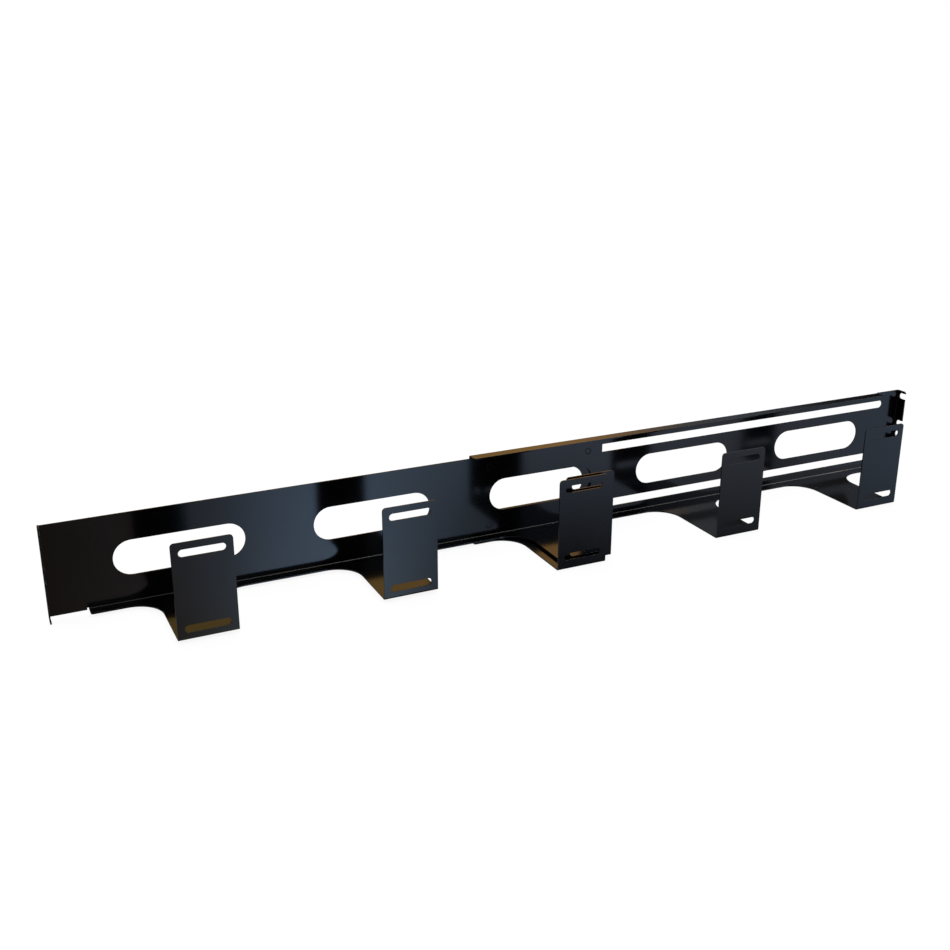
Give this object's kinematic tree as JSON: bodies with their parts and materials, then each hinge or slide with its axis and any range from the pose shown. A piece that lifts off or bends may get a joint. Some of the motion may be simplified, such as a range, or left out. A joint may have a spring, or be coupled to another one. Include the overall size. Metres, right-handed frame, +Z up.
{
  "type": "front-to-rear cable manager",
  "caption": "Telescoping front-to-rear rack cable manager: two folded steel trays with obround cable openings, shelves and strap-slotted upright tabs, clamped by studs in long slots.",
  "frame": {"origin": "centre of the whole box's underside, on the plane that the outer tray's shelves lie on", "axes": "+X along the trays from the inner tray's end flange to the outer tray's, +Y from the tabs to the back of the plates, +Z up along the rack's uprights"},
  "size_m": [0.93, 0.107, 0.0879],
  "materials": {
    "gloss_black_paint": "gloss",
    "zinc_plated_steel": "satin"
  },
  "bodies": {
    "outer": {"outer_tray": "gloss_black_paint"},
    "inner": {"inner_tray": "gloss_black_paint", "clamp_stud_1": "gloss_black_paint", "clamp_stud_2": "gloss_black_paint", "clamp_stud_3": "gloss_black_paint", "clamp_stud_4": "gloss_black_paint", "clamp_washer_1": "zinc_plated_steel", "clamp_washer_2": "zinc_plated_steel", "clamp_washer_3": "zinc_plated_steel", "clamp_washer_4": "zinc_plated_steel", "clamp_nut_1": "zinc_plated_steel", "clamp_nut_2": "zinc_plated_steel", "clamp_nut_3": "zinc_plated_steel", "clamp_nut_4": "zinc_plated_steel"}
  },
  "joints": [
    {"name": "tray_slide", "type": "slide", "parent": "outer", "child": "inner", "axis": [1, 0, 0], "range_m": [-0.0045, 0.382]}
  ]
}
